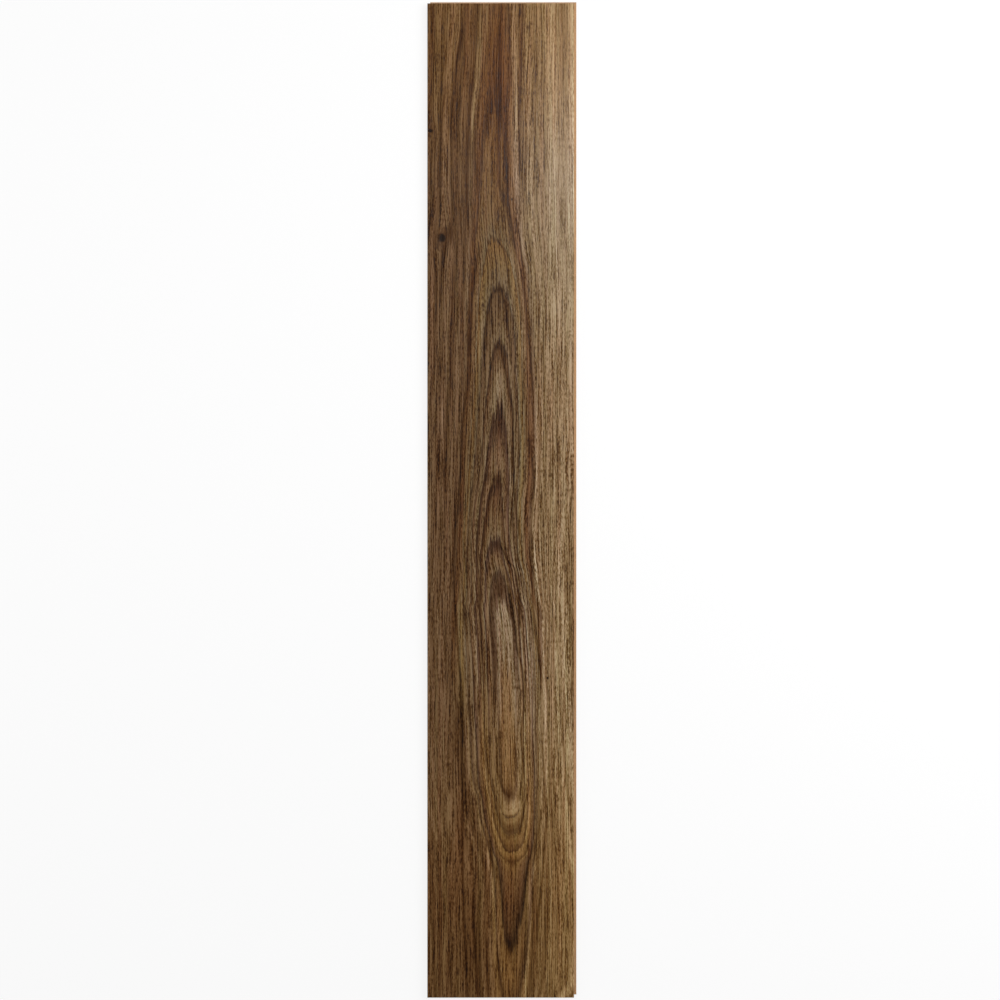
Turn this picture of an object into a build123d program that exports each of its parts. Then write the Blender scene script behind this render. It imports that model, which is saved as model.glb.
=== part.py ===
"""Laminate floor plank with a snap-together tongue and groove milled round its four sides.

The plank lies on its back with its printed face up. +X runs across it towards the long tongue,
+Y runs along it towards the end tongue, and +Z is up. The origin is on the underside, under the
middle of the printed face. All sizes are in millimetres.
"""

from build123d import *

import os

# Board: the size that one plank covers once it is laid
face_length = 1288.0
face_width = 190.0
thickness = 8.0
arris = 0.4  # bevel pressed round the printed face
foot_chamfer = 0.6  # broken edge round the underside

# Joint along the long sides: the lip above the tongue, the tongue and how far it stands out past the face
side_upper_lip = 2.9
side_tongue_thickness = 2.4
side_tongue_reach = 3.2

# Joint across the ends, which is a little smaller
end_upper_lip = 3.1
end_tongue_thickness = 2.0
end_tongue_reach = 2.8

# Rounding of the tongue's nose, and the snap bead just behind it on the underside
nose_rounding = 0.7
bead_width = 0.9
bead_height = 0.3
bead_land = 0.15  # flat left between the bead and the rounding

# Clearances that let two planks close tight at the printed face
slide_clearance = 0.05  # above and below the tongue, and round the bead
nose_clearance = 0.3  # past the tip of the tongue
foot_setback = 0.2  # of each lower edge, so that the upper edges meet first
mouth_chamfer = 0.2  # lead-in at the mouth of the groove

# Worked out from the sizes above
pocket_width = bead_width + 2 * slide_clearance
side_groove_depth = side_tongue_reach + nose_clearance
end_groove_depth = end_tongue_reach + nose_clearance
blank_half_length = face_length / 2 + 2 * end_tongue_reach  # over-long, for the end cutters to take off
blank_half_width = face_width / 2 + 2 * side_tongue_reach


def nose_radius(tongue_thickness):
    """Returns the rounding of a nose, which leaves the tip of a thin tongue a narrow flat."""
    return min(nose_rounding, 0.45 * tongue_thickness)


def tongue_edge(edge, upper_lip, tongue_thickness, reach):
    """Draws the tongue side from the printed face down to the underside, with its printed edge at edge."""
    tongue_top = thickness - upper_lip
    tongue_bottom = tongue_top - tongue_thickness
    radius = nose_radius(tongue_thickness)
    nose = edge + reach
    bead_outer = nose - radius - bead_land
    bead_inner = bead_outer - bead_width
    foot = edge - foot_setback
    Polyline((edge - arris, thickness), (edge, thickness - arris), (edge, tongue_top))
    FilletPolyline(
        (edge, tongue_top),
        (nose, tongue_top),
        (nose, tongue_bottom),
        (bead_outer, tongue_bottom),
        radius=radius,
    )
    ThreePointArc(
        (bead_outer, tongue_bottom),
        ((bead_outer + bead_inner) / 2, tongue_bottom - bead_height),
        (bead_inner, tongue_bottom),
    )
    Polyline(
        (bead_inner, tongue_bottom),
        (foot, tongue_bottom),
        (foot, foot_chamfer),
        (foot - foot_chamfer, 0),
    )


def groove_edge(edge, upper_lip, tongue_thickness, reach):
    """Draws the groove side from the underside up to the printed face, with its printed edge at edge."""
    groove_top = thickness - upper_lip + slide_clearance
    groove_bottom = thickness - upper_lip - tongue_thickness - slide_clearance
    radius = nose_radius(tongue_thickness)
    root = edge + reach + nose_clearance
    pocket_inner = edge + reach - radius - bead_land + slide_clearance
    pocket_outer = pocket_inner - pocket_width
    foot = edge + foot_setback
    Polyline(
        (foot + foot_chamfer, 0),
        (foot, foot_chamfer),
        (foot, groove_bottom - mouth_chamfer),
        (foot + mouth_chamfer, groove_bottom),
        (pocket_outer, groove_bottom),
    )
    ThreePointArc(
        (pocket_outer, groove_bottom),
        ((pocket_outer + pocket_inner) / 2, groove_bottom - bead_height),
        (pocket_inner, groove_bottom),
    )
    FilletPolyline(
        (pocket_inner, groove_bottom),
        (root, groove_bottom),
        (root, groove_top),
        (edge + mouth_chamfer, groove_top),
        radius=radius,
    )
    Polyline(
        (edge + mouth_chamfer, groove_top),
        (edge, groove_top + mouth_chamfer),
        (edge, thickness - arris),
        (edge + arris, thickness),
    )


def milled_section(plane, span, upper_lip, tongue_thickness, reach):
    """Returns the board's section across one pair of sides: groove at the low edge, tongue at the high one."""
    with BuildSketch(plane) as section:
        with BuildLine():
            low_edge = -span / 2
            high_edge = span / 2
            groove_edge(low_edge, upper_lip, tongue_thickness, reach)
            Line((low_edge + arris, thickness), (high_edge - arris, thickness))
            tongue_edge(high_edge, upper_lip, tongue_thickness, reach)
            foot_inset = foot_setback + foot_chamfer
            Line((high_edge - foot_inset, 0), (low_edge + foot_inset, 0))
        make_face()
    return section.sketch


# The long sides are milled on an over-long blank, and the ends are then milled across it
with BuildPart() as plank:
    long_sides = milled_section(
        Plane.XZ, face_width, side_upper_lip, side_tongue_thickness, side_tongue_reach
    )
    extrude(long_sides, amount=blank_half_length, both=True)
    ends = milled_section(Plane.YZ, face_length, end_upper_lip, end_tongue_thickness, end_tongue_reach)
    extrude(ends, amount=blank_half_width, both=True, mode=Mode.INTERSECT)
    # Each tongue stops short where the groove round the corner runs out through it
    with Locations((face_width / 2, -face_length / 2, 0)):
        Box(
            2 * side_tongue_reach,
            end_groove_depth,
            thickness,
            align=(Align.MIN, Align.MIN, Align.MIN),
            mode=Mode.SUBTRACT,
        )
    with Locations((-face_width / 2, face_length / 2, 0)):
        Box(
            side_groove_depth,
            2 * end_tongue_reach,
            thickness,
            align=(Align.MIN, Align.MIN, Align.MIN),
            mode=Mode.SUBTRACT,
        )

plank.part.label = "plank"

os.makedirs("parts", exist_ok=True)
export_step(plank.part, "parts/plank.step")
print("plank volume", round(plank.part.volume), "mm3, box", plank.part.bounding_box().size)
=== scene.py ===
"""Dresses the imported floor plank: walnut print with pressed grain, fibreboard sides and kraft backing."""

from __future__ import annotations

import logging
from abc import ABC, abstractmethod
from dataclasses import dataclass
from enum import Enum
from math import exp
from typing import Any, Mapping, Optional, Sequence, Tuple, Union

import bmesh
import bpy
import numpy as np
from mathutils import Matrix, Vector

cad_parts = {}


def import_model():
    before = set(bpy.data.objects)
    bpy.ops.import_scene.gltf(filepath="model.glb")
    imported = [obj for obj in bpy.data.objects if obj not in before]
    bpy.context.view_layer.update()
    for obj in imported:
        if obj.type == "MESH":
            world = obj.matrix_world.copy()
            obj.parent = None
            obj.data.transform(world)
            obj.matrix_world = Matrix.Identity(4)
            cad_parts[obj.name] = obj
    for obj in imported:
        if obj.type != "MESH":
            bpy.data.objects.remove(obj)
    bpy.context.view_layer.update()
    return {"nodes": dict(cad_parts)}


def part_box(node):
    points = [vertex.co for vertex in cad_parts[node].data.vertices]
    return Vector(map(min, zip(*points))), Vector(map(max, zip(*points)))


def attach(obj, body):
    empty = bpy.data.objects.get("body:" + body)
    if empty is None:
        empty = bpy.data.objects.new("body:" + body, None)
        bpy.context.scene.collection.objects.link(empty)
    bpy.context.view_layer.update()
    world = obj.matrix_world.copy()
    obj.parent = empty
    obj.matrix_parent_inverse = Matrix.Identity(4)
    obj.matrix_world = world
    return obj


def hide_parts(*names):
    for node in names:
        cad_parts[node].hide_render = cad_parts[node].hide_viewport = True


LOG = logging.getLogger("plank")

MM = 0.001

Number = Union[int, float]
Point = Tuple[float, float]
Points = Tuple[Point, ...]
Place = Tuple[float, float, float]
Rgb = Tuple[int, int, int]
Linear = Tuple[float, float, float, float]
Stops = Tuple[Tuple[float, Rgb], ...]

WHITE: Linear = (1.0, 1.0, 1.0, 1.0)


class Face(Enum):
    """Material slots of the dressed plank, in the order they are added to its mesh."""

    PRINT = 0
    BOARD = 1
    BACKING = 2


class Blend(Enum):
    """How one colour goes over another."""

    COVER = "MIX"
    STAIN = "MULTIPLY"


def linear(colour: Rgb) -> Linear:
    """Turns a display colour of 0 to 255 into the linear colour that nodes take.

    Args:
        colour: Red, green and blue as a screen shows them.

    Returns:
        Linear red, green, blue and an alpha of 1.
    """
    parts = []
    for channel in colour:
        value = channel / 255
        parts.append(value / 12.92 if value <= 0.04045 else ((value + 0.055) / 1.055) ** 2.4)
    return (parts[0], parts[1], parts[2], 1.0)


class Field:
    """A node socket that takes part in Python arithmetic: each operator adds one Math node."""

    def __init__(self, desk: Desk, socket: bpy.types.NodeSocket) -> None:
        """Keeps the tree's desk and the socket."""
        self.desk = desk
        self.socket = socket

    def _math(self, operation: str, *others: Operand, clamp: bool = False) -> Field:
        """Adds a Math node with this field as its first value."""
        return self.desk.math(operation, self, *others, clamp=clamp)

    def __add__(self, other: Operand) -> Field:
        """Sum."""
        return self._math("ADD", other)

    __radd__ = __add__

    def __sub__(self, other: Operand) -> Field:
        """Difference."""
        return self._math("SUBTRACT", other)

    def __rsub__(self, other: Operand) -> Field:
        """Difference from a number."""
        return self.desk.math("SUBTRACT", other, self)

    def __mul__(self, other: Operand) -> Field:
        """Product."""
        return self._math("MULTIPLY", other)

    __rmul__ = __mul__

    def __truediv__(self, other: Operand) -> Field:
        """Quotient."""
        return self._math("DIVIDE", other)

    def __rtruediv__(self, other: Operand) -> Field:
        """Quotient of a number."""
        return self.desk.math("DIVIDE", other, self)

    def root(self) -> Field:
        """Square root."""
        return self._math("SQRT")

    def absolute(self) -> Field:
        """Size without sign."""
        return self._math("ABSOLUTE")

    def bell(self) -> Field:
        """Bell curve: 1 at zero, falling to nothing on both sides."""
        return self.desk.math("POWER", exp(-1), self * self)

    def line(self, scale: Operand, shift: Operand) -> Field:
        """Value scaled and shifted by one node."""
        return self._math("MULTIPLY_ADD", scale, shift)

    def least(self, other: Operand) -> Field:
        """Smaller of the two."""
        return self._math("MINIMUM", other)

    def most(self, other: Operand) -> Field:
        """Larger of the two."""
        return self._math("MAXIMUM", other)

    def held(self) -> Field:
        """Value held between 0 and 1."""
        return self._math("ADD", 0.0, clamp=True)

    def rise(self, low: Operand, high: Operand) -> Field:
        """Smooth step from 0 at low to 1 at high."""
        inputs = {"Value": self, "From Min": low, "From Max": high}
        return self.desk.node("ShaderNodeMapRange", {"interpolation_type": "SMOOTHSTEP"}, inputs)["Result"]


Operand = Union[Field, Number]


class Made:
    """A node that was added, giving each of its outputs as a Field."""

    def __init__(self, desk: Desk, node: bpy.types.Node) -> None:
        """Keeps the tree's desk and the node."""
        self.desk = desk
        self.node = node

    def __getitem__(self, key: str) -> Field:
        """Output socket by its identifier or name."""
        return Field(self.desk, Desk.socket(self.node.outputs, key))


@dataclass(frozen=True)
class Fleck:
    """One noise: a fleck's size across and along in millimetres, its seed, finer layers and strength."""

    wide: float
    long: float
    seed: float
    detail: float = 1.0
    strength: float = 1.0

    def shift(self) -> Point:
        """How far the noise is moved across and along, in flecks, so that it differs from the others."""
        return (self.seed, self.seed * 1.7)


class Desk:
    """A node tree being written, in a material, the world or a geometry modifier."""

    def __init__(self, tree: bpy.types.NodeTree) -> None:
        """Starts from an empty tree."""
        self.tree = tree
        tree.nodes.clear()

    @staticmethod
    def socket(sockets: bpy.types.bpy_prop_collection, key: str) -> bpy.types.NodeSocket:
        """Finds a socket.

        Args:
            sockets: A node's inputs or outputs.
            key: The socket's identifier or, failing that, its name.

        Returns:
            The socket.
        """
        for found in sockets:
            if found.identifier == key:
                return found
        return sockets[key]

    def node(
        self,
        kind: str,
        settings: Optional[Mapping[str, Any]] = None,
        inputs: Optional[Mapping[str, Any]] = None,
    ) -> Made:
        """Adds any node.

        Args:
            kind: The node's type.
            settings: Its own settings, set first. "stops" fills a colour ramp with (place, colour) and
                "points" fills a curve with (x, y).
            inputs: A value or a Field for each socket.

        Returns:
            The node that was added.
        """
        node = self.tree.nodes.new(kind)
        for name, value in (settings or {}).items():
            if name == "stops":
                self._fill_ramp(node.color_ramp, value)
            elif name == "points":
                self._fill_curve(node.mapping, value)
            else:
                setattr(node, name, value)
        for name, value in (inputs or {}).items():
            into = self.socket(node.inputs, name)
            if isinstance(value, Field):
                self.tree.links.new(value.socket, into)
            else:
                into.default_value = value
        return Made(self, node)

    @staticmethod
    def _fill_ramp(ramp: bpy.types.ColorRamp, stops: Sequence[Tuple[float, Linear]]) -> None:
        """Fills a colour ramp.

        Args:
            ramp: The ramp.
            stops: Places from 0 to 1, each with a linear colour.
        """
        while len(ramp.elements) < len(stops):
            ramp.elements.new(1.0)
        for element, (place, colour) in zip(ramp.elements, stops):
            element.position = place
            element.color = colour

    @staticmethod
    def _fill_curve(mapping: bpy.types.CurveMapping, points: Sequence[Point]) -> None:
        """Fills a float curve.

        Args:
            mapping: What holds the curve.
            points: The curve's points, from 0 to 1 both ways.
        """
        curve = mapping.curves[0]
        while len(curve.points) < len(points):
            curve.points.new(1.0, 1.0)
        for point, place in zip(curve.points, points):
            point.location = place
            point.handle_type = "AUTO_CLAMPED"
        mapping.update()

    def math(self, operation: str, *values: Operand, clamp: bool = False) -> Field:
        """Adds a Math node.

        Args:
            operation: What it does.
            values: Its one to three values.
            clamp: Whether the result is held between 0 and 1.

        Returns:
            Its result.
        """
        inputs = dict(zip(("Value", "Value_001", "Value_002"), values))
        return self.node("ShaderNodeMath", {"operation": operation, "use_clamp": clamp}, inputs)["Value"]

    def parts(self, vector: Field) -> Made:
        """Splits a vector into its X, Y and Z."""
        return self.node("ShaderNodeSeparateXYZ", None, {"Vector": vector})

    def grain(self, across: Field, along: Field, fleck: Fleck) -> Field:
        """Adds noise that is drawn out along the plank.

        Args:
            across: Place across the plank, in millimetres.
            along: Place along the plank, in millimetres.
            fleck: Its sizes.

        Returns:
            Noise from about 0 to 1, 0.5 on average.
        """
        shift = fleck.shift()
        spot = {"X": across.line(1 / fleck.wide, shift[0]), "Y": along.line(1 / fleck.long, shift[1])}
        vector = self.node("ShaderNodeCombineXYZ", None, spot)["Vector"]
        inputs = {"Vector": vector, "Scale": 1.0, "Detail": fleck.detail}
        return self.node("ShaderNodeTexNoise", {"noise_dimensions": "2D"}, inputs)["Fac"]

    def swing(self, across: Field, along: Field, fleck: Fleck) -> Field:
        """Adds the same noise, swinging about zero with the fleck's strength."""
        return (self.grain(across, along, fleck) - 0.5) * fleck.strength

    def curve(self, value: Field, points: Sequence[Point]) -> Field:
        """Adds a smooth curve through points.

        Args:
            value: Where along the curve.
            points: Its points, in rising order of their first number.

        Returns:
            The curve's height there.
        """
        lows = [min(p[i] for p in points) for i in (0, 1)]
        spans = [max(p[i] for p in points) - lows[i] for i in (0, 1)]
        unit = [((x - lows[0]) / spans[0], (y - lows[1]) / spans[1]) for x, y in points]
        place = value.line(1 / spans[0], -lows[0] / spans[0])
        found = self.node("ShaderNodeFloatCurve", {"points": unit}, {"Value": place})
        return found["Value"].line(spans[1], lows[1])

    def ramp(self, value: Field, stops: Stops) -> Field:
        """Adds a colour ramp.

        Args:
            value: Where along the ramp.
            stops: Places, in rising order, and display colours.

        Returns:
            The colour there.
        """
        low = stops[0][0]
        span = stops[-1][0] - low
        unit = [((place - low) / span, linear(colour)) for place, colour in stops]
        fac = value.line(1 / span, -low / span)
        return self.node("ShaderNodeValToRGB", {"stops": unit}, {"Fac": fac})["Color"]

    def mix(self, share: Operand, first: Any, second: Any, blend: Blend = Blend.COVER) -> Field:
        """Adds a colour Mix node.

        Args:
            share: How much of the second colour.
            first: A Field or a linear colour.
            second: A Field or a linear colour.
            blend: How the second goes over the first.

        Returns:
            The mixed colour.
        """
        return self.node(
            "ShaderNodeMix",
            {"data_type": "RGBA", "blend_type": blend.value, "clamp_factor": True},
            {"Factor_Float": share, "A_Color": first, "B_Color": second},
        )["Result_Color"]

    def bump(self, height: Field, strength: float, depth: float) -> Field:
        """Adds a Bump node of a depth in millimetres, and gives its normal."""
        inputs = {"Strength": strength, "Distance": depth * MM, "Height": height}
        return self.node("ShaderNodeBump", None, inputs)["Normal"]


@dataclass(frozen=True)
class Knot:
    """A knot in the figure: its place, its eye's half-sizes and how far round it pushes the grain aside."""

    across: float
    along: float
    eye: float
    tall: float
    wide: float
    long: float
    push: float


@dataclass(frozen=True)
class Streak:
    """One marked streak: its width, lightness, length of its faded ends, and path as (along, across)."""

    wide: float
    tone: float
    fade: float
    path: Points


@dataclass(frozen=True)
class Patch:
    """A broad patch of wood: its middle, its reach both ways and its lightness."""

    across: float
    along: float
    wide: float
    long: float
    tone: float = 1.0

    def share(self, across: Field, along: Field) -> Field:
        """1 in the middle of the patch, falling to nothing round it."""
        return ((across - self.across) / self.wide).bell() * ((along - self.along) / self.long).bell()


@dataclass(frozen=True)
class Grain:
    """What the figure gives at each place of the face.

    Attributes:
        plain: Place across, in millimetres.
        across: The same, rippled and pushed aside by the knots.
        along: Place along, in millimetres.
        offset: Distance across from the crown's line.
        rings: Growth ring, counted from the heart of the figure.
        fibre: Light and dark fibres.
        pores: 1 in the pores.
    """

    plain: Field
    across: Field
    along: Field
    offset: Field
    rings: Field
    fibre: Field
    pores: Field


@dataclass(frozen=True)
class WalnutFigure:
    """The drawing of the walnut, in millimetres across from the middle and along from the tongue end.

    A flat-sawn board cuts nested growth rings. Along its middle the ring count falls from both ends to the
    heart of the figure, and to the sides it grows evenly, so each ring shows as a long arch whose legs end as
    straight grain.
    """

    length: float = 1288.0
    # Fibres and pores, and how far the grain sways and ripples
    fibre: Fleck = Fleck(2.0, 56.0, 3.1, 2.0)
    pore: Fleck = Fleck(1.25, 20.0, 11.7)
    pore_edge: Point = (0.54, 0.66)
    sway: Fleck = Fleck(40.0, 260.0, 5.3, 1.0, 2.5)
    ripple: Fleck = Fleck(12.0, 80.0, 7.9, 1.0, 2.6)
    # Grain that leans to the left at the tongue end
    lean: float = 8.0
    lean_across: float = -52.0
    lean_wide: float = 26.0
    lean_long: float = 160.0
    # How the crown's line fades to the sides and where the left ring pitch gives way to the right one
    bend_edge: Point = (70.0, 28.0)
    pitch_edge: Point = (-10.0, 10.0)
    # How far the rings fray: everywhere, near the crown's line, and there above the groove end
    fray: float = 0.18
    crown_fray: float = 0.2
    upper_fray: float = 0.3
    fray_wide: float = 11.0
    fray_edge: Point = (1000.0, 900.0)
    # The crown as (along, value): its line, its ring count, its ring pitch to each side and its roundness
    crown_line: Points = (
        (0, -5), (135, -7.5), (242, -9), (290, -8), (320, -6), (367, -2.5), (520, -1.5), (610, -3.5),
        (690, -7), (736, -3), (773, 1), (850, 7), (1040, 12), (1117, 14), (1227, 12), (1288, 12),
    )
    crown_rings: Points = (
        (0, 9.75), (95, 9.2), (135, 9.0), (190, 8.8), (242, 8.6), (304, 8.0), (367, 7.0), (438, 6.0),
        (520, 5.0), (610, 4.0), (690, 3.0), (736, 2.0), (773, 1.0), (850, 0.4), (905, 0.15), (990, 0.5),
        (1030, 1.0), (1055, 2.0), (1077, 3.0), (1100, 4.0), (1117, 5.0), (1227, 6.0), (1288, 6.6),
    )
    left_pitch: Points = (
        (0, 5.0), (367, 4.8), (540, 5.3), (720, 5.5), (900, 5.4), (1050, 5.2), (1100, 4.8), (1160, 4.7),
        (1288, 4.7),
    )
    right_pitch: Points = (
        (0, 5.0), (367, 4.6), (540, 4.7), (690, 4.2), (800, 3.9), (900, 4.1), (990, 4.4), (1040, 5.2),
        (1100, 5.8), (1160, 6.8), (1227, 6.8), (1288, 5.5),
    )
    crown_round: Points = (
        (0, 2.0), (290, 5.0), (400, 5.0), (440, 3.5), (500, 1.5), (610, 1.5), (690, 3.0), (740, 5.0),
        (773, 7.0), (800, 12.0), (1000, 11.0), (1030, 6.0), (1060, 5.0), (1100, 3.5), (1170, 1.2),
        (1288, 1.0),
    )
    knots: Tuple[Knot, ...] = (
        Knot(-75.8, 304, 5.6, 6.2, 14.0, 36.0, 0.65),
        Knot(-91, 165, 3.4, 2.4, 8.0, 20.0, 0.7),
        Knot(14.5, 254, 1.2, 1.4, 3.0, 10.0, 0.5),
        Knot(60.5, 874, 1.4, 1.6, 4.0, 12.0, 0.6),
        Knot(92.5, 597, 0.2, 0.2, 9.0, 26.0, 0.7),
        Knot(88.5, 851, 0.2, 0.2, 7.0, 20.0, 0.6),
    )

    def place(self, desk: Desk, position: Field) -> Tuple[Field, Field]:
        """Turns a position in the plank's frame into the drawing's own places.

        Args:
            desk: The tree.
            position: Position in metres.

        Returns:
            Place across from the middle and along from the tongue end, in millimetres.
        """
        parts = desk.parts(position)
        return parts["X"] / MM, self.length / 2 - parts["Y"] / MM

    def grain(self, desk: Desk, position: Field) -> Grain:
        """Works out the grain for the print and for the relief alike.

        Args:
            desk: The tree.
            position: Position in metres.

        Returns:
            The grain there.
        """
        plain, along = self.place(desk, position)
        leaning = along.rise(self.lean_long, 0.0) * ((plain - self.lean_across) / self.lean_wide).bell()
        sway = desk.swing(plain, along, self.sway) - leaning * self.lean
        across = plain + desk.swing(plain, along, self.ripple)
        for knot in self.knots:
            near = self._near(across, along, knot, knot.wide, knot.long)
            across = across - (across - knot.across) * near.bell() * knot.push
        bend = across.absolute().rise(*self.bend_edge) * desk.curve(along, self.crown_line)
        offset = across - bend + sway
        fibre = desk.grain(offset, along, self.fibre)
        pores = desk.grain(offset, along, self.pore).rise(*self.pore_edge)
        left = desk.curve(along, self.left_pitch)
        right = desk.curve(along, self.right_pitch)
        pitch = left + offset.rise(*self.pitch_edge) * (right - left)
        blunt = desk.curve(along, self.crown_round)
        side = ((offset * offset + blunt * blunt).root() - blunt) / pitch
        middle = desk.curve(along, self.crown_rings)
        rings = (side * side + middle * middle).root()
        crown_fray = self.crown_fray + self.upper_fray * along.rise(*self.fray_edge)
        fray = self.fray + (offset / self.fray_wide).bell() * crown_fray
        return Grain(plain, across, along, offset, rings + (fibre - 0.5) * fray, fibre, pores)

    @staticmethod
    def _near(across: Field, along: Field, knot: Knot, wide: float, long: float) -> Field:
        """Measures the way to a knot.

        Args:
            across: Place across.
            along: Place along.
            knot: The knot.
            wide: Its reach across.
            long: Its reach along.

        Returns:
            Distance from its middle, 1 at its reach.
        """
        away = (across - knot.across) / wide
        down = (along - knot.along) / long
        return (away * away + down * down).root()

    def from_eye(self, across: Field, along: Field) -> Field:
        """Measures the way to the nearest knot.

        Args:
            across: Place across.
            along: Place along.

        Returns:
            Distance from the middle of the nearest eye, 1 at its rim.
        """
        found = [self._near(across, along, knot, knot.eye, knot.tall) for knot in self.knots]
        nearest = found[0]
        for other in found[1:]:
            nearest = nearest.least(other)
        return nearest


class Finish(ABC):
    """A surface of the plank, which becomes one material."""

    name: str

    @abstractmethod
    def sockets(self, desk: Desk, position: Field) -> Mapping[str, Any]:
        """Draws the surface.

        Args:
            desk: The tree.
            position: Position in metres.

        Returns:
            What goes into the shader's sockets.
        """

    def material(self) -> bpy.types.Material:
        """Builds the material.

        Returns:
            The finish as a material.
        """
        material = bpy.data.materials.new(self.name)
        material.use_nodes = True
        desk = Desk(material.node_tree)
        position = desk.node("ShaderNodeTexCoord")["Object"]
        shader = desk.node("ShaderNodeBsdfPrincipled", None, self.sockets(desk, position))
        desk.node("ShaderNodeOutputMaterial", None, {"Surface": shader["BSDF"]})
        return material


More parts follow.
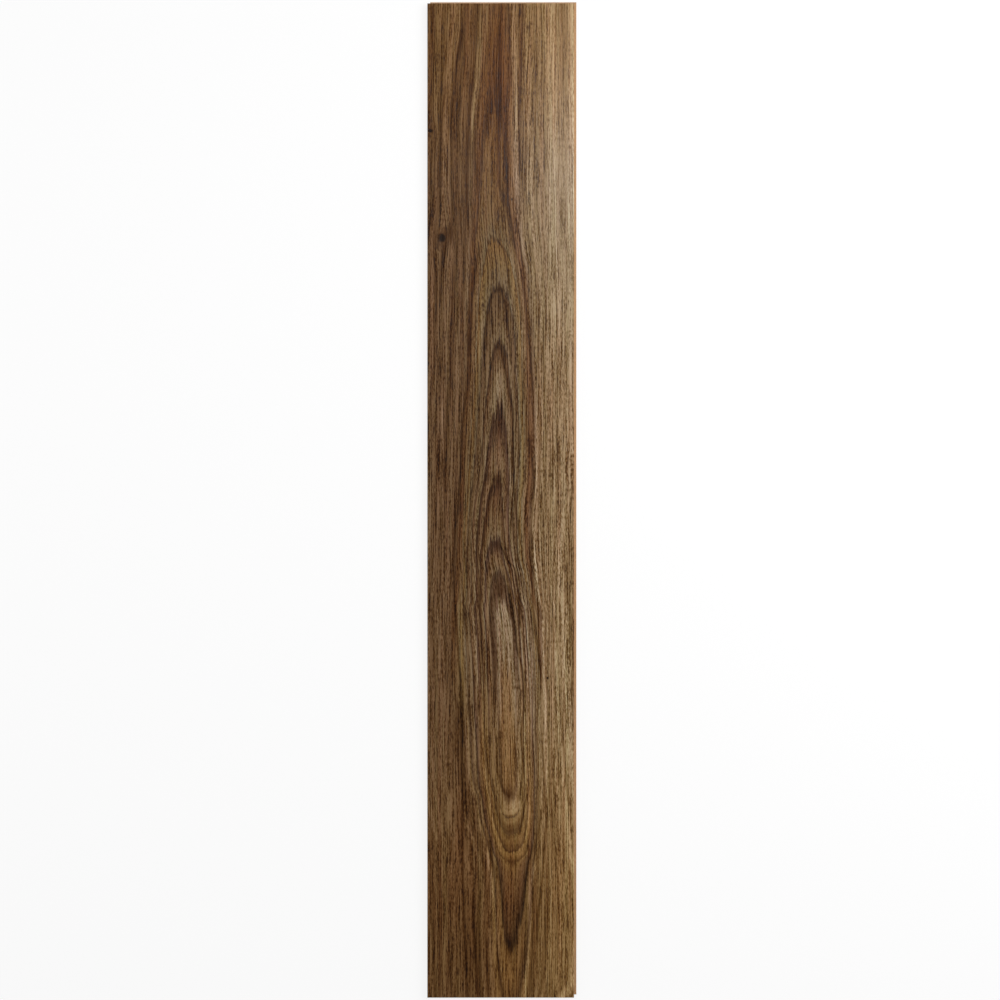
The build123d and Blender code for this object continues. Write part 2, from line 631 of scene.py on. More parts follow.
@dataclass(frozen=True)
class WalnutPrint(Finish):
    """Satin walnut print under a clear wear layer."""

    name: str = "walnut_print"
    figure: WalnutFigure = WalnutFigure()
    # Sheen, how far the hairs and pores change it, and hair-fine scratches of the press plate
    roughness: float = 0.28
    hair_sheen: float = 0.12
    pore_sheen: float = 0.1
    specular: float = 0.3
    scratch: float = 0.35
    scratch_depth: float = 0.03
    # Fibres from fine to broad, lines that follow the rings, patches of hue and the rim of a knot
    speck: Fleck = Fleck(1.05, 5.0, 33.7, 1.0, 2.4)
    hair: Fleck = Fleck(1.35, 64.0, 21.3, 1.0, 3.2)
    thread: Fleck = Fleck(1.7, 330.0, 52.9, 1.0, 2.2)
    streak: Fleck = Fleck(4.2, 240.0, 14.2, 2.0, 0.7)
    bands: Fleck = Fleck(1.5, 900.0, 4.4, 3.0, 2.1)
    contour: Fleck = Fleck(0.2, 900.0, 27.1, 2.0, 1.8)
    warmth: Fleck = Fleck(5.0, 260.0, 41.3, 3.0, 4.0)
    ragged: Fleck = Fleck(2.4, 3.6, 61.3, 2.0, 0.9)
    # Middle of the threads, bands and hues, and the lightest that a thread or a band gets
    thread_middle: float = 0.49
    thread_light: float = 0.16
    band_middle: float = 0.52
    band_light: float = 0.22
    band_shift: float = 61.0
    warm_middle: float = 0.53
    # Lightness of the fibres and pores, and of the board as a whole
    fibre_tone: float = 0.5
    pore_tone: float = 0.8
    lift: float = 0.44
    crisp: float = 1.15
    crisp_middle: float = 0.45
    crisp_part: Point = (560.0, 300.0)
    light_limit: float = 0.9
    light_share: float = 0.6
    streak_plain: float = 0.55
    streak_fibre: float = 0.9
    # How much more a tone changes each colour of light
    stain: Tuple[Tuple[str, float], ...] = (("Red", 1.0), ("Green", 1.27), ("Blue", 1.7))
    # Stretch where the lower rings take over, and the ring where the crown ends above and below it
    turn: Point = (835.0, 960.0)
    upper_edge: Point = (10.3, 10.9)
    lower_edge: Point = (7.0, 7.7)
    side_edge: Point = (-10.0, 80.0)
    # Painted sheen at the upper right, greyer and with softer fibres, and parts of the board that have a hue
    # of their own
    painted_sheen_across: Point = (25.0, 75.0)
    painted_sheen_along: Point = (560.0, 240.0)
    painted_sheen_wash: float = 0.35
    golden_near: Point = (880.0, 1180.0)
    golden_far: Point = (250.0, 90.0)
    ashen_part: Point = (560.0, 340.0)
    heart: Patch = Patch(-3, 160, 13, 130)
    point_part: Point = (10.0, 20.0)
    point_along: Point = (1060.0, 1240.0)
    # Eye under the flame, where the fibres give way to rings
    ringed: Patch = Patch(0, 1058, 18, 44, 0.75)
    # Reach and strength of a knot's halo, and the rim of its eye
    halo_reach: float = 1.8
    halo_share: float = 0.75
    rim: Point = (1.25, 0.5)
    # Rings as (ring, colour): the crown down to the flame, the rings outside it, and the crown below
    upper_rings: Stops = (
        (0.0, (112, 80, 48)), (0.3, (114, 82, 50)), (0.45, (123, 97, 68)), (0.97, (125, 100, 71)),
        (1.03, (86, 60, 38)), (1.6, (82, 57, 36)), (1.93, (66, 46, 28)), (2.02, (100, 75, 47)),
        (2.45, (94, 66, 38)), (2.75, (76, 51, 32)), (2.97, (56, 36, 23)), (3.03, (102, 78, 50)),
        (3.35, (96, 69, 40)), (3.7, (80, 52, 28)), (3.97, (54, 31, 15)), (4.03, (104, 78, 49)),
        (4.45, (94, 66, 40)), (4.75, (70, 46, 28)), (4.96, (62, 39, 23)), (5.04, (110, 87, 58)),
        (5.45, (102, 77, 48)), (5.75, (88, 60, 34)), (5.96, (54, 34, 18)), (6.04, (102, 78, 50)),
        (6.45, (92, 66, 39)), (6.9, (80, 55, 31)), (6.97, (52, 34, 20)), (7.04, (98, 76, 50)),
        (7.5, (98, 72, 40)), (7.9, (104, 73, 37)), (7.98, (66, 43, 22)), (8.04, (100, 78, 50)),
    )
    outer_rings: Stops = (
        (8.04, (100, 78, 50)), (8.35, (96, 69, 40)), (8.7, (100, 72, 42)), (8.93, (96, 66, 36)),
        (9.02, (64, 39, 20)), (9.25, (86, 55, 28)), (9.6, (88, 58, 31)), (9.85, (84, 56, 31)),
        (10.0, (82, 56, 32)), (10.2, (92, 66, 40)), (10.6, (94, 67, 41)), (11.0, (86, 60, 35)),
    )
    lower_rings: Stops = (
        (0.0, (112, 80, 46)), (0.6, (108, 76, 42)), (0.85, (92, 64, 36)), (0.97, (82, 56, 32)),
        (1.2, (113, 85, 53)), (1.5, (112, 84, 51)), (1.88, (106, 78, 46)), (1.97, (64, 42, 24)),
        (2.05, (108, 80, 46)), (2.5, (98, 70, 39)), (2.97, (72, 48, 25)), (3.04, (106, 78, 44)),
        (3.5, (100, 70, 37)), (3.97, (74, 48, 25)), (4.04, (110, 80, 44)), (4.5, (102, 71, 37)),
        (4.93, (70, 44, 20)), (5.03, (102, 73, 40)), (5.25, (92, 63, 36)), (5.55, (82, 55, 33)),
        (5.8, (68, 46, 28)), (5.95, (48, 32, 19)), (6.03, (92, 67, 40)), (6.35, (100, 73, 44)),
        (6.6, (84, 59, 34)), (6.8, (64, 42, 23)), (7.0, (96, 70, 41)), (7.3, (106, 78, 46)),
        (7.6, (80, 55, 31)), (8.0, (92, 66, 38)),
    )
    left_colour: Rgb = (90, 63, 37)
    right_colour: Rgb = (126, 98, 64)
    halo_colour: Rgb = (70, 43, 20)
    eye_colour: Rgb = (28, 16, 8)
    red_hue: Linear = (1.05, 0.96, 0.95, 1.0)
    olive_hue: Linear = (0.96, 1.01, 0.94, 1.0)
    golden_hue: Linear = (1.06, 1.0, 0.84, 1.0)
    ashen_hue: Linear = (0.97, 1.0, 1.09, 1.0)
    # Painted sheen: a greyer hue for the upper right
    painted_sheen_hue: Linear = (0.96, 1.0, 1.12, 1.0)
    heart_hue: Linear = (1.1, 0.99, 0.8, 1.0)
    streaks: Tuple[Streak, ...] = (
        # Light and grey bands left of the crown's top
        Streak(5.0, 0.28, 30, ((0, -16.5), (45, -21.5), (100, -28.5), (158, -37))),
        Streak(3.4, -0.22, 20, ((45, -14), (86, -21.5), (150, -30.5), (235, -36))),
        Streak(1.5, 0.35, 20, ((226, -34.5), (300, -39.5), (378, -44.5))),
        Streak(2.6, -0.6, 12, ((320, -28.5), (356, -34.5), (400, -38.5), (449, -40.5))),
        Streak(2.5, 0.25, 20, ((369, -23), (423, -25), (449, -27))),
        Streak(1.0, 0.4, 20, ((371, -29.5), (404, -30), (468, -33.5))),
        # Dark heart of the top and the lines right of it
        Streak(2.6, -0.7, 20, ((35, -2), (112, -1), (150, -3), (222, -2), (255, 5.5), (307, 14.5))),
        Streak(1.9, -0.45, 15, ((0, 10), (48, 11.5), (151, 8), (226, 7), (283, 14), (404, 27.5))),
        Streak(1.2, 0.5, 15, ((0, 13.5), (73, 14))),
        Streak(4.0, 0.32, 30, ((9, 19), (80, 20), (150, 18.5), (255, 20), (309, 28))),
        Streak(1.1, -0.8, 15, ((2, 27.5), (67, 26.5), (150, 23.5), (216, 24.5))),
        Streak(1.2, -1.0, 12, ((283, 20), (310, 25.5), (365, 31), (433, 36.5), (501, 40.5))),
        Streak(2.6, -0.45, 20, ((465, 27), (540, 34), (566, 34.5))),
        Streak(0.9, -0.5, 15, ((417, 55.5), (498, 56))),
        # Lines round the knots on the left
        Streak(2.2, -0.85, 15, ((41, -51.5), (106, -60.5), (158, -64.5), (230, -63.5), (303, -67))),
        Streak(1.6, -0.55, 20, ((110, -37), (164, -41), (274, -43))),
        Streak(1.2, -0.6, 15, ((115, -72), (158, -76.5), (265, -77.5))),
        Streak(1.3, -0.8, 12, ((174, -85.5), (230, -86), (301, -91.5))),
        Streak(1.7, -0.85, 8, ((312, -74), (361, -77.5), (384, -78))),
        Streak(1.3, -0.6, 12, ((326, -85.5), (345, -84), (410, -83))),
        Streak(1.0, 0.4, 40, ((533, -75.5), (695, -75))),
        # Legs of the arches, from the top one down
        Streak(1.2, -0.8, 6, ((310, -3), (318, 2.5), (348, 9), (379, 12.5))),
        Streak(1.3, -0.9, 5, ((371, 1.5), (399, 7), (465, 13))),
        Streak(2.0, -0.6, 5, ((373, -6.5), (380, -12), (408, -17.5), (446, -20))),
        Streak(
            1.5, -0.85, 5, ((440, -0.5), (465, 3.5), (500, 10), (545, 16), (600, 16), (640, 18.5), (686, 24))
        ),
        Streak(1.4, -0.5, 5, ((443, -5), (452, -9), (472, -12.5))),
        Streak(1.8, -0.6, 8, ((628, -12.5), (659, -17.5), (702, -23))),
        Streak(1.2, -0.5, 8, ((623, 5.5), (643, 12.5), (702, 20))),
        Streak(1.3, -0.9, 6, ((704, 0.5), (721, 9), (739, 20), (805, 25))),
        Streak(1.7, -0.6, 20, ((620, -21), (656, -26.5), (720, -30.5), (747, -28), (850, -25.5))),
        # Outer line of the crown on the left, down to the groove end
        Streak(1.5, -0.75, 15, ((436, -41), (494, -43), (537, -49), (640, -54), (711, -60), (773, -60))),
        Streak(
            1.5, -0.75, 15, ((790, -59), (847, -54.5), (915, -50.5), (1122, -49), (1200, -47), (1287, -42.5))
        ),
        # Outer line of the crown on the right, down into the point, and the light line beside it
        Streak(1.6, -0.75, 12, ((566, 38.5), (628, 42), (695, 39.5), (757, 41), (826, 47), (870, 52))),
        Streak(
            1.5, -0.38, 12, ((885, 52.5), (960, 53.5), (1010, 56.5), (1069, 49.5), (1106, 39), (1222, 15.5))
        ),
        Streak(1.5, 0.28, 20, ((533, 45), (630, 46.5), (700, 45), (792, 49), (883, 57.5), (1019, 60))),
        # Round the flame and the eye under it
        Streak(1.4, -0.85, 8, ((760, 12.5), (832, 21), (897, 30), (948, 27.5), (981, 29), (1028, 23.5))),
        Streak(2.4, -0.65, 12, ((773, -12), (796, -12.5), (861, -8), (905, -9.5))),
        Streak(2.3, -0.65, 6, ((945, -1.5), (976, -5), (1003, -2), (1021, 5.5))),
        Streak(1.3, -0.8, 4, ((1027, 33.5), (1051, 28.5), (1075, 24.5))),
        Streak(1.7, -0.3, 12, ((980, -30), (1040, -22.5), (1094, -14.5), (1151, 1), (1216, 8.5))),
        Streak(1.8, 0.3, 10, ((990, -21.5), (1051, -11.5), (1097, -1))),
        # Lines at the groove end
        Streak(2.3, 0.45, 12, ((1103, -19), (1140, -11), (1207, -5), (1265, 1.5))),
        Streak(2.6, 0.7, 12, ((1120, 43), (1160, 38), (1220, 37.5), (1260, 32), (1287, 30.5))),
        Streak(1.4, -0.6, 15, ((1097, 56), (1146, 52.5), (1187, 47.5), (1210, 47))),
        Streak(1.7, -0.7, 15, ((1161, -36), (1213, -33.5), (1280, -30))),
        Streak(1.3, -0.7, 15, ((1220, -17), (1284, -15.5))),
        Streak(1.2, -0.6, 12, ((1220, -5.5), (1267, 0.5))),
        Streak(1.2, -0.5, 12, ((1200, 40.5), (1278, 38.5))),
        Streak(1.2, -0.45, 12, ((1019, 63), (1094, 55.5))),
        Streak(1.8, -0.5, 10, ((931, -59), (967, -59.5))),
        Streak(0.9, -0.7, 6, ((880, -33.5), (913, -33))),
    )
    patches: Tuple[Patch, ...] = (
        # Broad tones of the board
        Patch(-60, 300, 60, 420, -0.16),
        Patch(-60, 620, 30, 110, -0.1),
        Patch(-68, 215, 24, 60, 0.18),
        Patch(-58, 690, 12, 60, -0.12),
        Patch(-56, 1190, 13, 90, -0.16),
        Patch(-70, 800, 14, 350, -0.1),
        Patch(-36, 80, 13, 110, 0.24),
        Patch(-36, 560, 14, 140, -0.1),
        Patch(-36, 1220, 14, 80, -0.36),
        Patch(0, 300, 30, 330, -0.1),
        Patch(-2.5, 130, 8, 90, -0.28),
        Patch(18, 180, 9, 180, 0.32),
        Patch(-16, 800, 8, 50, 0.14),
        Patch(-27, 960, 16, 110, 0.14),
        Patch(31, 560, 14, 600, 0.08),
        Patch(34, 330, 12, 160, 0.22),
        Patch(35, 920, 12, 150, 0.3),
        Patch(60, 110, 13, 150, -0.2),
        Patch(25, 1050, 20, 50, 0.24),
        Patch(45, 880, 26, 170, 0.2),
        Patch(58, 680, 22, 230, -0.14),
        Patch(52, 1215, 24, 130, -0.36),
        Patch(88, 1180, 14, 130, 0.06),
        Patch(58, 1060, 13, 150, -0.14),
        Patch(80, 510, 22, 80, -0.07),
        Patch(-82, 925, 13, 60, -0.08),
        Patch(-82, 1108, 12, 50, 0.08),
        Patch(12, 828, 10, 50, -0.08),
        Patch(12, 185, 10, 50, 0.08),
        # Painted sheen: the upper right lightened, over wood that is partly paler there
        Patch(90, 180, 30, 220, 0.44),
        # Dark tips of the arches and of the point
        Patch(-2, 369, 5, 4, -0.6),
        Patch(-1, 540, 8.5, 22, -0.3),
        Patch(-4, 617, 7, 8, -0.6),
        Patch(-4, 702, 6, 7, -0.5),
        Patch(-1.5, 756, 9, 14, -0.5),
        Patch(11.5, 1223, 3.4, 12, -1.0),
        # Brown wood beside the large knot
        Patch(-70, 297, 5.5, 8, -0.7),
        # Pale and dark places inside the crown
        Patch(-1.5, 492, 5, 22, 0.3),
        Patch(12.5, 1043, 8.5, 8, 0.4),
        Patch(12.5, 1024, 5, 6, -0.45),
        Patch(32, 1020, 6.5, 9, -0.4),
        # Dark wood on the lower left
        Patch(-51.5, 1064, 8, 45, -0.25),
    )

    def sockets(self, desk: Desk, position: Field) -> Mapping[str, Any]:
        """Draws the print.

        Args:
            desk: The tree.
            position: Position in metres.

        Returns:
            What goes into the shader's sockets.
        """
        grain = self.figure.grain(desk, position)
        hair = desk.grain(grain.offset, grain.along, self.hair)
        colour = self._hued(desk, grain, self._figure_colour(desk, grain))
        tone = self._fine_tone(desk, grain, hair) + self._streak_tone(desk, grain)
        colour = self._toned(desk, colour, tone)
        return {
            "Base Color": self._knotted(desk, grain, colour),
            "Roughness": self.roughness + (hair - 0.5) * self.hair_sheen + grain.pores * self.pore_sheen,
            "Normal": desk.bump(hair, self.scratch, self.scratch_depth),
            "Specular IOR Level": self.specular,
        }

    def _figure_colour(self, desk: Desk, grain: Grain) -> Field:
        """Colours the rings: listed in the crown, even lines in the straight grain outside it.

        Args:
            desk: The tree.
            grain: The figure.

        Returns:
            Colour before the fine fibres.
        """
        rings = grain.rings
        lower = grain.along.rise(*self.turn)
        past = desk.math("GREATER_THAN", rings, self.upper_rings[-1][0])
        upper = desk.mix(past, desk.ramp(rings, self.upper_rings), desk.ramp(rings, self.outer_rings))
        crown = desk.mix(lower, upper, desk.ramp(rings, self.lower_rings))
        right = desk.math("GREATER_THAN", grain.offset, 0.0)
        bands = desk.grain(rings + right * self.band_shift, grain.along, self.bands)
        light = ((bands - self.band_middle) * self.bands.strength).least(self.band_light)
        side = grain.across.rise(*self.side_edge)
        plain = desk.mix(side, linear(self.left_colour), linear(self.right_colour))
        edges = [above + lower * (below - above) for above, below in zip(self.upper_edge, self.lower_edge)]
        return desk.mix(rings.rise(*edges), crown, self._toned(desk, plain, light))

    def _painted_sheen_side(self, grain: Grain) -> Field:
        """1 at the upper right, where a sheen is painted in as a greyer hue and softer fibres."""
        return grain.across.rise(*self.painted_sheen_across) * grain.along.rise(*self.painted_sheen_along)

    @staticmethod
    def _stretch(along: Field, part: Point) -> Field:
        """1 in the middle of a part of the board, given by its middle and reach."""
        return ((along - part[0]) / part[1]).bell()

    def _hued(self, desk: Desk, grain: Grain, colour: Field) -> Field:
        """Gives the streaks of wood their own hues, some redder and some more olive, and greys the upper
        right as a painted sheen.

        Args:
            desk: The tree.
            grain: The figure.
            colour: The colour.

        Returns:
            The colour with its hues.
        """
        along = grain.along
        warm = desk.grain(grain.offset, along, self.warmth)
        heart = self.heart.share(grain.across, along)
        point = self._stretch(grain.across, self.point_part) * along.rise(*self.point_along)
        shares = (
            ((warm - self.warm_middle) * self.warmth.strength, self.red_hue),
            ((self.warm_middle - warm) * self.warmth.strength, self.olive_hue),
            (along.rise(*self.golden_near) + along.rise(*self.golden_far), self.golden_hue),
            (self._stretch(along, self.ashen_part), self.ashen_hue),
            # Painted sheen: the upper right greyed
            (self._painted_sheen_side(grain), self.painted_sheen_hue),
            (heart.most(point), self.heart_hue),
        )
        for share, hue in shares:
            colour = desk.mix(share, colour, hue, Blend.STAIN)
        return colour

    def _toned(self, desk: Desk, colour: Field, tone: Field) -> Field:
        """Makes a colour lighter and greyer, or darker and redder, as wood stain does.

        Args:
            desk: The tree.
            colour: The colour.
            tone: How much, 0 for no change.

        Returns:
            The toned colour.
        """
        parts = {name: desk.math("EXPONENT", tone * strength) for name, strength in self.stain}
        factor = desk.node("ShaderNodeCombineColor", None, parts)["Color"]
        return desk.mix(1.0, colour, factor, Blend.STAIN)

    def _fine_tone(self, desk: Desk, grain: Grain, hair: Field) -> Field:
        """Works out the light and dark of the fine fibres, the pores and the broad patches, softened at the
        upper right under a painted sheen.

        Args:
            desk: The tree.
            grain: The figure.
            hair: Finest fibres.

        Returns:
            The tone, 0 on average.
        """
        offset, along = grain.offset, grain.along
        thread = (desk.grain(offset, along, self.thread) - self.thread_middle) * self.thread.strength
        broad = (grain.fibre - 0.5) * self.fibre_tone + desk.swing(offset, along, self.streak)
        crisp = self.crisp + self._stretch(along, self.crisp_part) * self.crisp_middle
        fine = ((hair - 0.5) * self.hair.strength + desk.swing(offset, along, self.speck)) * crisp
        upright = broad + thread.least(self.thread_light) + fine - grain.pores * self.pore_tone + self.lift
        ringed = self.ringed.share(offset, along)
        contour = desk.swing(grain.rings, along, self.contour)
        tone = upright * (1.0 - ringed * self.ringed.tone) + contour * ringed
        tone = tone.least(0.0) + tone.most(0.0).least(self.light_limit) * self.light_share
        # Painted sheen: the fibres at the upper right softened, as if washed out by a reflection
        tone = tone * (1.0 - self._painted_sheen_side(grain) * self.painted_sheen_wash)
        for patch in self.patches:
            tone = patch.share(grain.plain, along).line(patch.tone, tone)
        return tone

    def _streak_tone(self, desk: Desk, grain: Grain) -> Field:
        """Works out the light and dark of the marked streaks.

        Args:
            desk: The tree.
            grain: The figure.

        Returns:
            The tone, 0 away from them.
        """
        total: Operand = 0.0
        for streak in self.streaks:
            start, end = streak.path[0][0], streak.path[-1][0]
            beside = (grain.across - desk.curve(grain.along, streak.path)) / streak.wide
            ends = grain.along.rise(start - streak.fade, start) * grain.along.rise(end + streak.fade, end)
            total = (beside.bell() * ends).line(streak.tone, total)
        return (self.streak_plain + grain.fibre * self.streak_fibre) * total

    def _knotted(self, desk: Desk, grain: Grain, colour: Field) -> Field:
        """Adds the knots: a golden halo and a dark eye with a ragged rim.

        Args:
            desk: The tree.
            grain: The figure.
            colour: The colour.

        Returns:
            The colour with the knots on it.
        """
        ragged = desk.swing(grain.plain, grain.along, self.ragged)
        away = self.figure.from_eye(grain.plain, grain.along) + ragged
        halo = (away / self.halo_reach).bell() * self.halo_share
        ringed = desk.mix(halo, colour, linear(self.halo_colour))
        return desk.mix(away.rise(*self.rim), ringed, linear(self.eye_colour))


@dataclass(frozen=True)
class Fibreboard(Finish):
    """Milled high-density fibreboard: tan, with fine dark fibres and a thin brown resin line at the face."""

    name: str = "milled_fibreboard"
    colour: Rgb = (190, 151, 110)
    dark: Rgb = (146, 109, 73)
    resin: Rgb = (70, 48, 30)
    thickness: float = 8.0
    resin_depth: float = 0.35
    resin_blur: float = 0.15
    resin_share: float = 0.8
    # Flecks to a metre, and how far they darken the board
    fine_scale: float = 2600.0
    broad_scale: float = 240.0
    fine_light: float = 0.8
    broad_dark: float = 0.6
    darkest: float = 0.9
    roughness: float = 0.72
    fine_sheen: float = 0.2
    specular: float = 0.3
    fuzz: float = 0.4
    fuzz_depth: float = 0.06

    def sockets(self, desk: Desk, position: Field) -> Mapping[str, Any]:
        """Draws the milled board.

        Args:
            desk: The tree.
            position: Position in metres.

        Returns:
            What goes into the shader's sockets.
        """
        fine = self._flecks(desk, position, self.fine_scale)
        broad = self._flecks(desk, position, self.broad_scale)
        mottle = (self.darkest - fine * self.fine_light + (broad - 0.5) * self.broad_dark).held()
        board = desk.mix(mottle, linear(self.colour), linear(self.dark))
        line = self.thickness - self.resin_depth
        skin = (desk.parts(position)["Z"] / MM).rise(line - self.resin_blur, line)
        return {
            "Base Color": desk.mix(skin * self.resin_share, board, linear(self.resin)),
            "Roughness": self.roughness + (fine - 0.5) * self.fine_sheen,
            "Normal": desk.bump(fine, self.fuzz, self.fuzz_depth),
            "Specular IOR Level": self.specular,
        }

    @staticmethod
    def _flecks(desk: Desk, position: Field, scale: float) -> Field:
        """Noise with flecks of one size, which goes through the board."""
        inputs = {"Vector": position, "Scale": scale, "Detail": 3.0}
        return desk.node("ShaderNodeTexNoise", None, inputs)["Fac"]


@dataclass(frozen=True)
class BackingPaper(Finish):
    """Kraft balancing paper pressed on the underside: brown, mottled, faintly creased along its length."""

    name: str = "kraft_backing"
    colour: Rgb = (142, 108, 74)
    dark: Rgb = (108, 78, 50)
    cloud: Fleck = Fleck(9.0, 14.0, 2.2, 4.0, 1.4)
    cloud_low: float = 0.3
    thread: Fleck = Fleck(0.7, 6.0, 6.6, 2.0, 0.7)
    roughness: float = 0.6
    cloud_sheen: float = 0.2
    specular: float = 0.35
    crease: float = 0.3
    crease_depth: float = 0.04

    def sockets(self, desk: Desk, position: Field) -> Mapping[str, Any]:
        """Draws the paper.

        Args:
            desk: The tree.
            position: Position in metres.

        Returns:
            What goes into the shader's sockets.
        """
        parts = desk.parts(position)
        across, along = parts["X"] / MM, parts["Y"] / MM
        cloud = desk.grain(across, along, self.cloud)
        thread = desk.grain(across, along, self.thread)
        clouded = (cloud - self.cloud_low) * self.cloud.strength
        mottle = (clouded + (thread - 0.5) * self.thread.strength).held()
        return {
            "Base Color": desk.mix(mottle, linear(self.colour), linear(self.dark)),
            "Roughness": self.roughness + (cloud - 0.5) * self.cloud_sheen,
            "Normal": desk.bump(thread, self.crease, self.crease_depth),
            "Specular IOR Level": self.specular,
        }


@dataclass
class Relief:
    """The grain pressed into the wear layer, as real depth in the mesh, in millimetres."""

    figure: WalnutFigure
    fibre_depth: float = 0.03
    pore_depth: float = 0.06
    fibre_edge: Point = (0.7, 0.3)
    border: float = 3.0
    face_edge: Point = (0.02, 0.01)

    def press(self, piece: bpy.types.Object, low: Vector, high: Vector) -> None:
        """Sinks the fibres and pores into the printed face and keeps the result as the mesh.

        Args:
            piece: The plank, whose printed face is a fine grid.
            low: Lowest corner of the printed face.
            high: Highest corner of the printed face.
        """
        tree = bpy.data.node_groups.new("grain_relief", "GeometryNodeTree")
        desk = Desk(tree)
        for way in ("INPUT", "OUTPUT"):
            tree.interface.new_socket("Geometry", in_out=way, socket_type="NodeSocketGeometry")
        position = desk.node("GeometryNodeInputPosition")["Position"]
        grain = self.figure.grain(desk, position)
        depth = grain.fibre.rise(*self.fibre_edge) * self.fibre_depth + grain.pores * self.pore_depth
        parts = desk.parts(position)
        inset = (parts["X"] - low.x).least(high.x - parts["X"])
        inset = inset.least((parts["Y"] - low.y).least(high.y - parts["Y"])) / MM
        on_face = parts["Z"].rise(*(high.z - under * MM for under in self.face_edge))
        sink = depth * inset.rise(0.0, self.border) * on_face * -MM
        offset = desk.node("ShaderNodeCombineXYZ", None, {"Z": sink})["Vector"]
        entry = desk.node("NodeGroupInput")["Geometry"]
        moved = desk.node("GeometryNodeSetPosition", None, {"Geometry": entry, "Offset": offset})["Geometry"]
        desk.node("NodeGroupOutput", None, {"Geometry": moved})
        modifier = piece.modifiers.new("grain_relief", "NODES")
        modifier.node_group = tree
        graph = bpy.context.evaluated_depsgraph_get()
        pressed = bpy.data.meshes.new_from_object(piece.evaluated_get(graph), depsgraph=graph)
        piece.modifiers.clear()
        piece.data = pressed


@dataclass(frozen=True)
class Strip:
    """An upright strip of the bake's square: where it starts, its width and the margin at its ends."""

    start: float
    wide: float
    margin: float = 0.002

    def place(self, across: float, up: float) -> Point:
        """Place in the square, from shares of the strip's width and height."""
        return (self.start + self.wide * across, self.margin + (1 - 2 * self.margin) * up)


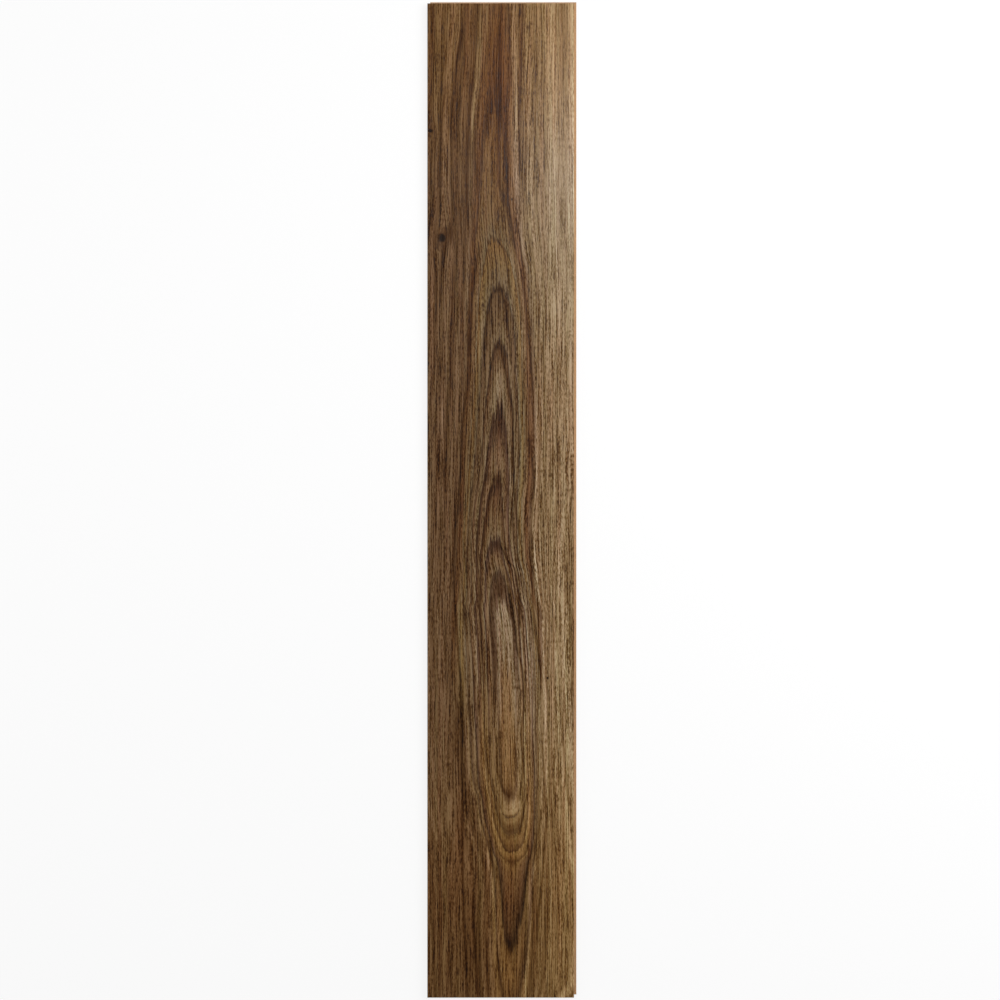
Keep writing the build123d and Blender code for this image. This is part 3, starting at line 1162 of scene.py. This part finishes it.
@dataclass
class Plank:
    """The dressed plank: the milled board as it is, with its printed face remade as a fine grid."""

    node: bpy.types.Object
    figure: WalnutFigure
    columns: int = 344
    rows: int = 268
    # How near two points are the same, and how near a level a face lies in it, in millimetres
    weld: float = 0.002
    flat: float = 0.02
    # Angle from which an edge is sharp, in radians
    sharp: float = 0.6
    # Strips of the bake, the four for the sides standing a pitch apart, and the width that a slope takes up
    print_strip: Strip = Strip(0.004, 0.846)
    backing_strip: Strip = Strip(0.856, 0.08)
    side_strip: Strip = Strip(0.942, 0.012)
    side_pitch: float = 0.014
    slope: float = 10.0

    def build(self) -> bpy.types.Object:
        """Makes the plank's mesh and presses the grain into it.

        Returns:
            The plank.
        """
        low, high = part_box("plank")
        bm = bmesh.new()
        bm.from_mesh(self.node.data)
        bmesh.ops.remove_doubles(bm, verts=bm.verts, dist=self.weld * MM)
        top = [face for face in bm.faces if self._level(face, high.z)]
        corners = {v for face in top for v in face.verts}
        inner_low = Vector([min(v.co[i] for v in corners) for i in range(3)])
        inner_high = Vector([max(v.co[i] for v in corners) for i in range(3)])
        bevels = {face for v in corners for face in v.link_faces} - set(top)
        bmesh.ops.delete(bm, geom=top + list(bevels), context="FACES")
        rim = sorted({v for edge in bm.edges if edge.is_boundary for v in edge.verts}, key=lambda v: v.index)
        for face in bm.faces:
            face.material_index = (Face.BACKING if self._level(face, low.z) else Face.BOARD).value
        self._face_grid(bm, inner_low, inner_high, rim)
        bmesh.ops.recalc_face_normals(bm, faces=bm.faces)
        for edge in bm.edges:
            edge.smooth = edge.calc_face_angle(0.0) < self.sharp
        self._unwrap(bm, low, high)
        mesh = bpy.data.meshes.new("plank_dressed")
        bm.to_mesh(mesh)
        bm.free()
        piece = bpy.data.objects.new("plank_dressed", mesh)
        bpy.context.scene.collection.objects.link(piece)
        Relief(self.figure).press(piece, inner_low, inner_high)
        piece.data.polygons.foreach_set("use_smooth", np.ones(len(piece.data.polygons), dtype=bool))
        return piece

    def _level(self, face: bmesh.types.BMFace, height: float) -> bool:
        """Whether a face lies level at a height."""
        return all(abs(v.co.z - height) < self.flat * MM for v in face.verts)

    def _face_grid(
        self, bm: bmesh.types.BMesh, low: Vector, high: Vector, rim: Sequence[bmesh.types.BMVert]
    ) -> None:
        """Fills the open top with a fine grid and the bevel that joins it to the milled sides.

        Args:
            bm: The mesh, open at the top.
            low: Lowest corner of the grid.
            high: Highest corner of the grid.
            rim: Corners of the opening.
        """
        across = np.linspace(low.x, high.x, self.columns + 1)
        along = np.linspace(low.y, high.y, self.rows + 1)
        grid = [[bm.verts.new((x, y, high.z)) for x in across] for y in along]
        for j in range(self.rows):
            for i in range(self.columns):
                quad = (grid[j][i], grid[j][i + 1], grid[j + 1][i + 1], grid[j + 1][i])
                bm.faces.new(quad).material_index = Face.PRINT.value
        sides = (
            [row[0] for row in grid],
            [row[-1] for row in reversed(grid)],
            list(reversed(grid[0])),
            list(grid[-1]),
        )
        for side in sides:
            ends = [min(rim, key=lambda v, end=end: (v.co - end.co).length) for end in (side[-1], side[0])]
            bm.faces.new(side + ends).material_index = Face.PRINT.value

    def _unwrap(self, bm: bmesh.types.BMesh, low: Vector, high: Vector) -> None:
        """Lays the faces out for the bake: most of the square for the print, strips for the rest.

        Args:
            bm: The finished mesh.
            low: Lowest corner of the plank.
            high: Highest corner of the plank.
        """
        layer = bm.loops.layers.uv.new("OFBake")
        span = high - low
        flat_strips = {Face.PRINT.value: self.print_strip, Face.BACKING.value: self.backing_strip}
        for face in bm.faces:
            strip = flat_strips.get(face.material_index)
            for loop in face.loops:
                place = loop.vert.co - low
                unit = Vector((place.x / span.x, place.y / span.y, place.z / span.z))
                if strip:
                    loop[layer].uv = strip.place(unit.x, unit.y)
                else:
                    loop[layer].uv = self._side_place(face, place, unit, span / 2)

    def _side_place(self, face: bmesh.types.BMFace, place: Vector, unit: Vector, middle: Vector) -> Point:
        """Finds the place of one corner of a milled side in the strips kept for the sides.

        Args:
            face: The face.
            place: Corner, from the plank's lowest corner.
            unit: The same, with each side of the plank as 1.
            middle: The plank's middle, from its lowest corner.

        Returns:
            Place in the square.
        """
        centre = face.calc_center_median()
        ends = abs(face.normal.y) > 0.5 or (abs(face.normal.x) < 0.5 and abs(centre.x) < middle.x * 0.9)
        slant = (place.y if ends else place.x) / (self.slope * MM)
        depth = unit.z * 0.5 + (slant % 1.0) * 0.5
        number = (2 if ends else 0) + (1 if (centre.y if ends else centre.x) > 0 else 0)
        strip = Strip(self.side_strip.start + self.side_pitch * number, self.side_strip.wide)
        return strip.place(depth, unit.x if ends else unit.y)

    def dress(self, piece: bpy.types.Object) -> None:
        """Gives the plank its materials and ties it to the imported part.

        Args:
            piece: The plank.
        """
        finishes = {
            Face.PRINT: WalnutPrint(figure=self.figure),
            Face.BOARD: Fibreboard(),
            Face.BACKING: BackingPaper(),
        }
        for face in Face:
            piece.data.materials.append(finishes[face].material())
        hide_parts("plank")
        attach(piece, "root")


@dataclass(frozen=True)
class Lamp:
    """One soft square lamp: where it hangs, what it points at, the length of its side and its power."""

    name: str
    place: Place
    aim: Place
    size: float
    watts: float

    def hang(self) -> None:
        """Adds the lamp to the scene."""
        data = bpy.data.lights.new(self.name, "AREA")
        data.size = self.size
        data.energy = self.watts
        lamp = bpy.data.objects.new(self.name, data)
        lamp.location = self.place
        lamp.rotation_euler = (Vector(self.aim) - Vector(self.place)).to_track_quat("-Z", "Y").to_euler()
        bpy.context.scene.collection.objects.link(lamp)


@dataclass
class Studio:
    """Pale floor, white surround, soft lamps and the camera straight above the plank, in metres."""

    frame_width: float = 1.295
    camera_height: float = 1.5
    camera_across: float = -0.00093
    camera_along: float = 0.00067
    face_height: float = 0.008
    sensor: float = 36.0
    view_end: float = 100.0
    # Floor: how far it goes, its level, its grey, and its whiteness to the eye near the plank and far off
    floor_reach: float = 12.0
    floor_level: float = -0.00005
    floor_colour: Linear = (0.86, 0.86, 0.86, 1.0)
    glow_near: float = 0.84
    glow_far: float = 0.16
    glow_edge: Point = (0.9, 3.5)
    # Surround: its strength overhead, and the rise at which it is dim and white
    overhead: float = 0.06
    white_edge: Point = (0.7, 0.1)
    lamps: Tuple[Lamp, ...] = (
        Lamp("window", (1.5, 0.5, 1.3), (0.0, 0.1, 0.0), 1.2, 38.0),
        Lamp("sheen", (0.44, 0.9, 1.4), (0.06, 0.45, 0.0), 0.4, 6.0),
        Lamp("fill", (-1.5, 0.2, 1.3), (0.0, 0.0, 0.0), 1.6, 14.0),
    )

    def camera(self) -> None:
        """Makes the camera that looks straight down, with the plank's length upright in its frame."""
        data = bpy.data.cameras.new("camera")
        data.sensor_width = self.sensor
        data.lens = self.sensor * (self.camera_height - self.face_height) / self.frame_width
        data.clip_end = self.view_end
        camera = bpy.data.objects.new("camera", data)
        camera.location = (self.camera_across, self.camera_along, self.camera_height)
        bpy.context.scene.collection.objects.link(camera)
        bpy.context.scene.camera = camera

    def floor(self) -> None:
        """Makes the pale floor, which shows as white to the camera and still takes the plank's shadow."""
        mesh = bpy.data.meshes.new("floor")
        reach = self.floor_reach
        outline = ((-reach, -reach), (reach, -reach), (reach, reach), (-reach, reach))
        mesh.from_pydata([(x, y, self.floor_level) for x, y in outline], [], [(0, 1, 2, 3)])
        floor = bpy.data.objects.new("floor", mesh)
        bpy.context.scene.collection.objects.link(floor)
        material = bpy.data.materials.new("pale_floor")
        material.use_nodes = True
        desk = Desk(material.node_tree)
        paint = desk.node("ShaderNodeBsdfDiffuse", None, {"Color": self.floor_colour})["BSDF"]
        glow = desk.node("ShaderNodeEmission", None, {"Color": WHITE, "Strength": 1.0})["Emission"]
        position = desk.node("ShaderNodeTexCoord")["Object"]
        away = desk.node("ShaderNodeVectorMath", {"operation": "LENGTH"}, {"Vector": position})["Value"]
        seen = self._seen(desk) * (self.glow_near + self.glow_far * away.rise(*self.glow_edge))
        layers = {"Fac": seen, "Shader": paint, "Shader_001": glow}
        mixed = desk.node("ShaderNodeMixShader", None, layers)["Shader"]
        desk.node("ShaderNodeOutputMaterial", None, {"Surface": mixed})
        mesh.materials.append(material)

    @staticmethod
    def _seen(desk: Desk) -> Field:
        """1 for a ray that shows a surface to the eye, straight or by a mirror or through glass."""
        path = desk.node("ShaderNodeLightPath")
        return path["Is Camera Ray"].most(path["Is Glossy Ray"]).most(path["Is Transmission Ray"])

    def surround(self) -> None:
        """Lights the plank evenly from all round, white to the eye at the horizon and dimmer overhead."""
        world = bpy.data.worlds.new("surround")
        bpy.context.scene.world = world
        world.use_nodes = True
        desk = Desk(world.node_tree)
        direction = desk.node("ShaderNodeTexCoord")["Generated"]
        rise = desk.parts(direction)["Z"]
        white = desk.node("ShaderNodeLightPath")["Is Camera Ray"].most(rise.rise(*self.white_edge))
        strength = self.overhead + white * (1.0 - self.overhead)
        back = desk.node("ShaderNodeBackground", None, {"Color": WHITE, "Strength": strength})["Background"]
        desk.node("ShaderNodeOutputWorld", None, {"Surface": back})

    def build(self) -> None:
        """Sets up the whole studio."""
        bpy.context.scene.view_settings.view_transform = "Standard"
        self.camera()
        self.floor()
        self.surround()
        for lamp in self.lamps:
            lamp.hang()


def corners(box: Tuple[Vector, Vector]) -> list[list[float]]:
    """A box's two corners as plain lists of numbers."""
    return [list(corner) for corner in box]


def main() -> None:
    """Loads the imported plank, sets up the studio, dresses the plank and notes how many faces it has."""
    logging.basicConfig(level=logging.INFO)
    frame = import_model()
    Studio().build()
    plank = Plank(frame["nodes"]["plank"], WalnutFigure())
    piece = plank.build()
    plank.dress(piece)
    LOG.info("%s: %d faces", piece.name, len(piece.data.polygons))


if __name__ == "__main__":
    main()
